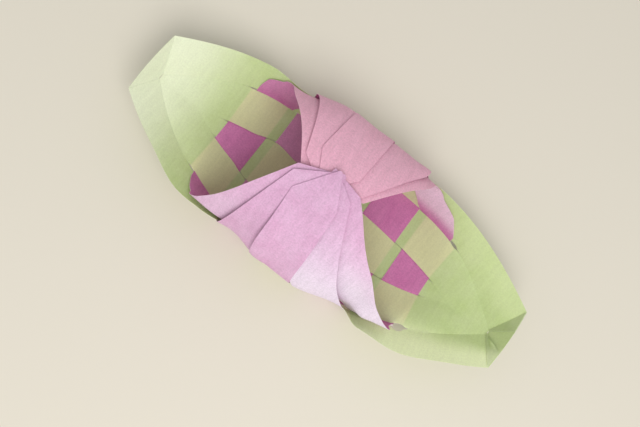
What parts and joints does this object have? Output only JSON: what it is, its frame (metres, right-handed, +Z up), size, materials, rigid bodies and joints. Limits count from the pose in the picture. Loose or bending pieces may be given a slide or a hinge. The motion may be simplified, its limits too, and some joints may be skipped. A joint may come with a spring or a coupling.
{
  "type": "modular origami boat",
  "caption": "Folded paper boat with a slit hull, crossed by woven paper strips whose pointed ends gather over the middle as a canopy.",
  "frame": {"origin": "bottom centre of the box around the boat, on the surface it stands on", "axes": "+X along the hull, away from the end that the canopy is gathered towards; +Y across the hull; +Z up"},
  "size_m": [0.14, 0.0568, 0.0391],
  "materials": {
    "hull_paper": "matt pale green craft paper",
    "strip_paper": "matt pink craft paper with a purple inner face"
  },
  "bodies": {
    "root": {"hull": "hull_paper", "strip_1": "strip_paper", "strip_2": "strip_paper", "strip_3": "strip_paper", "strip_4": "strip_paper", "strip_5": "strip_paper"}
  },
  "joints": []
}
